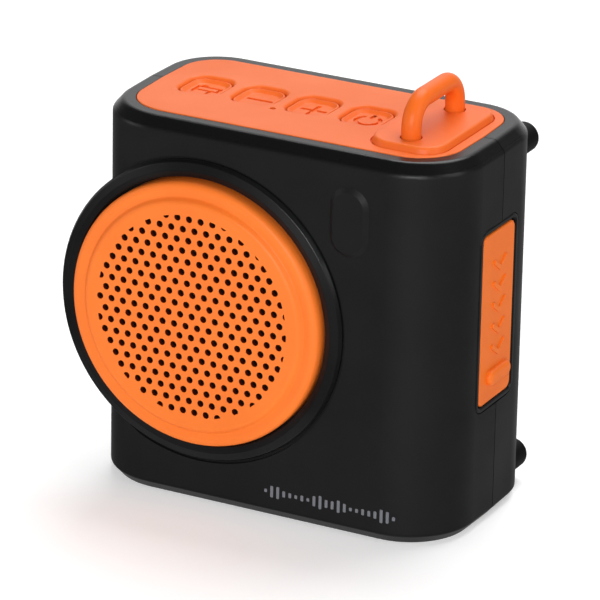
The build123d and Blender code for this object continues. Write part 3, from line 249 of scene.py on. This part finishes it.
def woven(name, colour, shade, pitch=0.0004):
    """A tight plain weave, with painted shade in the low parts of the weave between its threads."""
    material, tree, shader = new_material(name)
    where = position(tree)
    heights = []
    for way in ("X", "Z"):
        wave = tree.nodes.new("ShaderNodeTexWave")
        wave.bands_direction = way
        wave.inputs["Scale"].default_value = 1 / pitch / WAVE_TURN
        tree.links.new(where, wave.inputs["Vector"])
        heights.append(wave.outputs["Fac"])
    mixed = tree.nodes.new("ShaderNodeMath")
    mixed.operation = "MULTIPLY"
    for height, socket in zip(heights, mixed.inputs):
        tree.links.new(height, socket)
    height = mixed.outputs["Value"]
    # painted shade: the low parts of the weave get the darker colour
    tree.links.new(ramp(tree, height, shade, colour, 0.1, 0.8), shader.inputs["Base Color"])
    tree.links.new(bump(tree, height, pitch / 3), shader.inputs["Normal"])
    shader.inputs["Roughness"].default_value = 0.95
    shader.inputs["Specular IOR Level"].default_value = 0.1
    return material


CASE = moulded("case_black", BLACK_WORN, BLACK, (0.44, 0.52), 0.00016, 0.00001, 0.3)
CASE_TRIM = moulded("trim_black", BLACK_WORN, SOFT_BLACK, (0.28, 0.36), 0.00025, 0.000006, 0.3)
STUD = moulded("stud_rubber", SOFT_BLACK, SOFT_BLACK, (0.42, 0.55), 0.0003, 0.00001, 0.1)
polished_bevels(CASE, BASE_BEVEL_TOP, TOP_BEVEL_START, BEVEL_GLOSS, GLOSS_BLACK)
PANEL = moulded("panel_silicone", PANEL_ORANGE, PANEL_DEEP, (0.42, 0.50), 0.0002, 0.000006, 0.32)
COVER = moulded("cover_silicone", COVER_ORANGE, COVER_DEEP, (0.42, 0.50), 0.0002, 0.000006, 0.25)
LOOP = moulded("loop_silicone", LOOP_ORANGE, LOOP_DEEP, (0.36, 0.44), 0.0003, 0.000005, 0.25)
GRILLE = moulded("grille_paint", GRILLE_ORANGE, GRILLE_DEEP, (0.42, 0.50), 0.00022, 0.000006, 0.25)
GRILLE_LOW, GRILLE_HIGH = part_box("grille_disc")
# painted shade on the walls inside the grille's holes
shade_hole_walls(GRILLE, (GRILLE_LOW + GRILLE_HIGH) / 2, GRILLE_FIELD_R, GRILLE_LOW.y, HOLE_SHADE)
PRINT = moulded("grey_print", PRINT_GREY, PRINT_GREY, (0.5, 0.6), grain=0.0002, depth=0.000003)
DARK = moulded("inner_plastic", BLACK_WORN, BLACK, (0.5, 0.6), grain=0.0003, depth=0.00001)
PLATED = metal("plated_steel", STEEL, (0.22, 0.34))
BOARD = moulded("solder_mask", BOARD_GREEN, BOARD_GREEN, (0.3, 0.4), grain=0.0005, depth=0.000006)
COPPER = metal("copper_wire", COPPER_RED, (0.3, 0.4), (1, 30, 1))
FERRITE = moulded("ferrite", FERRITE_GREY, FERRITE_DEEP, (0.6, 0.75), 0.0004, 0.00003)
PAPER = moulded("cone_paper", PAPER_BLACK, PAPER_DEEP, (0.7, 0.8), 0.0006, 0.00005)
ROLL = moulded("roll_rubber", ROLL_BLACK, ROLL_DEEP, (0.35, 0.45))
FOAM = moulded("foam", FOAM_GREY, FOAM_DEEP, (0.85, 0.95), 0.0007, 0.0001)
WIRE = moulded("wire_red", WIRE_RED, WIRE_DEEP, (0.35, 0.45))
POUCH = metal("pouch_foil", FOIL, (0.35, 0.5), grain=300)
CLOTH = woven("grille_cloth", CLOTH_BLACK, CLOTH_WEAVE_SHADE)
SPIDER = woven("spider_cotton", COTTON, COTTON_WEAVE_SHADE, 0.0006)

FINISHES = {
    CASE: ("front_shell", "rear_shell"),
    CASE_TRIM: ("bezel_ring", "port_frame"),
    STUD: ("rear_feet",),
    PANEL: ("top_panel", "key_mode", "key_minus", "key_plus", "key_power"),
    COVER: ("port_cover",),
    LOOP: ("carry_loop",),
    GRILLE: ("grille_disc",),
    CLOTH: ("grille_cloth",),
    DARK: ("top_deck", "tact_switches", "aux_jack", "amplifier_chip", "driver_basket", "dust_cap",
           "plunger_mode", "plunger_minus", "plunger_plus", "plunger_power", "microphone_boot"),
    PLATED: ("driver_screws", "driver_top_plate", "driver_yoke", "loop_plate", "loop_screws",
             "microphone", "button_board_screws", "main_board_screws", "usb_port", "card_slot",
             "bluetooth_module", "capacitors", "case_screws", "port_cover_pin"),
    BOARD: ("main_board", "button_board"),
    COPPER: ("voice_coil",),
    FERRITE: ("driver_magnet",),
    PAPER: ("driver_cone",),
    ROLL: ("driver_surround",),
    SPIDER: ("driver_spider",),
    FOAM: ("driver_gasket", "battery_foam"),
    WIRE: ("speaker_leads", "battery_leads"),
    POUCH: ("battery_cell",),
}
for material, names in FINISHES.items():
    for name in names:
        NODES[name].data.materials.clear()
        NODES[name].data.materials.append(material)


# ---------------------------------------------------------------- pieces made here
def finished(name, shape, material, body):
    """Turn a bmesh into a smooth piece that rides on a body."""
    bmesh.ops.recalc_face_normals(shape, faces=shape.faces)
    mesh = bpy.data.meshes.new(name)
    shape.to_mesh(mesh)
    shape.free()
    mesh.materials.append(material)
    mesh.polygons.foreach_set("use_smooth", [True] * len(mesh.polygons))
    piece = bpy.data.objects.new(name, mesh)
    bpy.context.scene.collection.objects.link(piece)
    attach(piece, body)
    return piece


BARS, BAR_W, BAR_START_X, BAR_END_X, BAR_MID_Z = 22, 0.62, 0.95, 29.75, 5.8
BAR_SHORT, BAR_TALL, BAR_RISE, BAR_SINK, BAR_CORNER = 0.7, 3.0, 0.03, 0.1, 0.18
BAR_WAVE, BAR_BEAT = 0.9, 0.31
CORNER_SIDES, CORNER_STEPS = ((1, -1), (1, 1), (-1, 1), (-1, -1)), 4
FRONT_FACE_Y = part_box("rear_shell")[1][1] * -1


def bar_outline(middle, half_w, half_h):
    """The rounded outline of one bar, in millimetres, from its lower right corner round."""
    outline = []
    for corner, (side_x, side_z) in enumerate(CORNER_SIDES):
        for turn in range(CORNER_STEPS + 1):
            angle = radians(90 * (corner - 1 + turn / CORNER_STEPS))
            outline.append((middle + side_x * (half_w - BAR_CORNER) + BAR_CORNER * cos(angle),
                            BAR_MID_Z + side_z * (half_h - BAR_CORNER) + BAR_CORNER * sin(angle)))
    return outline


def level_bars():
    """A printed row of short upright bars of varied height, like a sound-level trace."""
    shape = bmesh.new()
    spacing = (BAR_END_X - BAR_START_X - BAR_W) / (BARS - 1)
    for number in range(BARS):
        middle = BAR_START_X + BAR_W / 2 + spacing * number
        swing = abs(sin(number * BAR_WAVE) * cos(number * BAR_BEAT))
        outline = bar_outline(middle, BAR_W / 2, (BAR_SHORT + (BAR_TALL - BAR_SHORT) * swing) / 2)
        rings = [[shape.verts.new((x * MM, y, z * MM)) for x, z in outline]
                 for y in (FRONT_FACE_Y + BAR_SINK * MM, FRONT_FACE_Y - BAR_RISE * MM)]
        shape.faces.new(rings[1])
        shape.faces.new(list(reversed(rings[0])))
        for here in range(len(outline)):
            there = (here + 1) % len(outline)
            shape.faces.new((rings[0][here], rings[0][there], rings[1][there], rings[1][here]))
    return finished("level_bars", shape, PRINT, "case")


bars = level_bars()
for polygon in bars.data.polygons:
    polygon.use_smooth = False

LOOP_R, LOOP_BEND, LOOP_SIDES, LOOP_ARC_STEPS, LOOP_RUN_STEPS = 1.95, 5.0, 72, 20, 12
LOOP_RIDGE, LOOP_RIDGE_W = 0.04, 10.0


def loop_frames(low, high):
    """(centre, direction) pairs up one leg of the loop, across its top and down the other."""
    x, bottom, top = (low.x + high.x) / 2, low.z, high.z - LOOP_R * MM
    front, rear, bend = low.y + LOOP_R * MM, high.y - LOOP_R * MM, LOOP_BEND * MM
    steps = [(Vector((x, front, bottom + (top - bend - bottom) * n / LOOP_RUN_STEPS)), Vector((0, 0, 1)))
             for n in range(LOOP_RUN_STEPS)]
    for n in range(LOOP_ARC_STEPS + 1):
        angle = pi / 2 * n / LOOP_ARC_STEPS
        steps.append((Vector((x, front + bend - bend * cos(angle), top - bend + bend * sin(angle))),
                      Vector((0, sin(angle), cos(angle)))))
    middle = (front + rear) / 2
    return steps + [(Vector((x, 2 * middle - place.y, place.z)), Vector((0, way.y, -way.z)))
                    for place, way in reversed(steps)]


def soft_loop():
    """The carrying loop: a soft round bar with the fine flash line of its mould on each side."""
    shape = bmesh.new()
    across = Vector((1, 0, 0))
    rings = []
    for centre, way in loop_frames(*[Vector(corner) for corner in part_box("carry_loop")]):
        outward = across.cross(way)
        ring = []
        for side in range(LOOP_SIDES):
            angle = 2 * pi * side / LOOP_SIDES
            off_line = min(abs(sin(angle)) * LOOP_RIDGE_W, 1.0)
            radius = (LOOP_R + LOOP_RIDGE * (1 - off_line)) * MM
            ring.append(shape.verts.new(centre + radius * (cos(angle) * across + sin(angle) * outward)))
        rings.append(ring)
    for ring, following in zip(rings, rings[1:]):
        for side in range(LOOP_SIDES):
            nearby = (side + 1) % LOOP_SIDES
            shape.faces.new((ring[side], ring[nearby], following[nearby], following[side]))
    shape.faces.new(list(reversed(rings[0])))
    shape.faces.new(rings[-1])
    piece = finished("soft_loop", shape, LOOP, "case")
    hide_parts("carry_loop")


soft_loop()

# ---------------------------------------------------------------- floor, light and camera
FLOOR_REACH, FLOOR_CELLS, FLOOR_GLOW, FLOOR_ROUGH = 4.0, 8, 0.35, 0.85
floor_mesh = bpy.data.meshes.new("floor")
shape = bmesh.new()
bmesh.ops.create_grid(shape, x_segments=FLOOR_CELLS, y_segments=FLOOR_CELLS, size=FLOOR_REACH)
shape.to_mesh(floor_mesh)
shape.free()
floor = bpy.data.objects.new("floor", floor_mesh)
bpy.context.scene.collection.objects.link(floor)
floor_look, _, floor_shader = new_material("floor_white")
floor_shader.inputs["Base Color"].default_value = FLOOR_WHITE
floor_shader.inputs["Emission Color"].default_value = WHITE
floor_shader.inputs["Emission Strength"].default_value = FLOOR_GLOW
floor_shader.inputs["Roughness"].default_value = FLOOR_ROUGH
floor_mesh.materials.append(floor_look)

floor.visible_glossy = False     # the dark plastic mirrors the studio below, not the lit floor

world = bpy.data.worlds.new("studio")
world.use_nodes = True
sky = world.node_tree
direction = sky.nodes.new("ShaderNodeTexCoord")
axes = sky.nodes.new("ShaderNodeSeparateXYZ")
sky.links.new(direction.outputs["Generated"], axes.inputs["Vector"])


def combine(operation, first, second):
    """Two direction-dependent values, added or multiplied."""
    node = sky.nodes.new("ShaderNodeMath")
    node.operation = operation
    sky.links.new(first, node.inputs[0])
    if hasattr(second, "links"):
        sky.links.new(second, node.inputs[1])
    else:
        node.inputs[1].default_value = second
    return node.outputs["Value"]


def light_surface(brightness, ranges):
    """One light surface of the studio: the sky's direction goes from dim to bright along each axis."""
    patch = None
    for axis, (start, end) in ranges.items():
        mask = step(sky, axes.outputs[axis], start, end)
        patch = combine("MULTIPLY", patch, mask) if patch else mask
    return combine("MULTIPLY", patch, brightness)


BACKDROP = (0.95, {"Y": (0.4, 0.8), "Z": (-0.6, -0.25), "X": (0.35, -0.15)})
TABLE_BEHIND = (0.30, {"Y": (0.4, 0.8), "Z": (-0.05, -0.45), "X": (0.1, 0.45)})
TABLE_BELOW = (0.30, {"Z": (-0.5, -0.85)})
total = light_surface(*BACKDROP)
for surface in (TABLE_BEHIND, TABLE_BELOW):
    total = combine("ADD", total, light_surface(*surface))
sky.links.new(combine("ADD", total, ROOM_DIM), sky.nodes["Background"].inputs["Strength"])
sky.nodes["Background"].inputs["Color"].default_value = WHITE
bpy.context.scene.world = world
bpy.context.scene.view_settings.view_transform = "Standard"

CENTRE = Vector((0.0, 0.0, 0.045))
LIGHTS = {                       # place, size and power
    "front": ((0.45, -1.25, 0.50), (0.6, 0.4), 11.7),
    "right": ((1.0, -0.1, 0.5), (0.5, 0.7), 2.6),
    "overhead": ((0.0, 0.45, 0.95), (0.9, 0.6), 8.5),
    "left": ((-1.0, -0.53, 0.35), (0.5, 0.5), 1.6),
}
for name, (place, size, power) in LIGHTS.items():
    lamp = bpy.data.lights.new(name, "AREA")
    lamp.shape, lamp.size, lamp.size_y = "RECTANGLE", *size
    lamp.energy = power
    holder = bpy.data.objects.new(name, lamp)
    holder.location = place
    holder.rotation_euler = (CENTRE - Vector(place)).to_track_quat("-Z", "Y").to_euler()
    bpy.context.scene.collection.objects.link(holder)

AZIMUTH, ELEVATION, ROLL_ANGLE = radians(27.279), radians(21.261), radians(1.135)
CAMERA_PLACE, LENS, SENSOR, CLIP = (0.41392, -0.80880, 0.39199), 294.57, 36.0, (0.05, 20)
camera_data = bpy.data.cameras.new("camera")
camera_data.lens, camera_data.sensor_width = LENS, SENSOR
camera_data.clip_start, camera_data.clip_end = CLIP
camera = bpy.data.objects.new("camera", camera_data)
level = Vector((cos(AZIMUTH), sin(AZIMUTH), 0))
back = Vector((sin(AZIMUTH) * cos(ELEVATION), -cos(AZIMUTH) * cos(ELEVATION), sin(ELEVATION)))
right = cos(ROLL_ANGLE) * level + sin(ROLL_ANGLE) * back.cross(level)
camera.matrix_world = Matrix.Translation(CAMERA_PLACE) @ Matrix(
    (right, back.cross(right), back)).transposed().to_4x4()
bpy.context.scene.collection.objects.link(camera)
bpy.context.scene.camera = camera
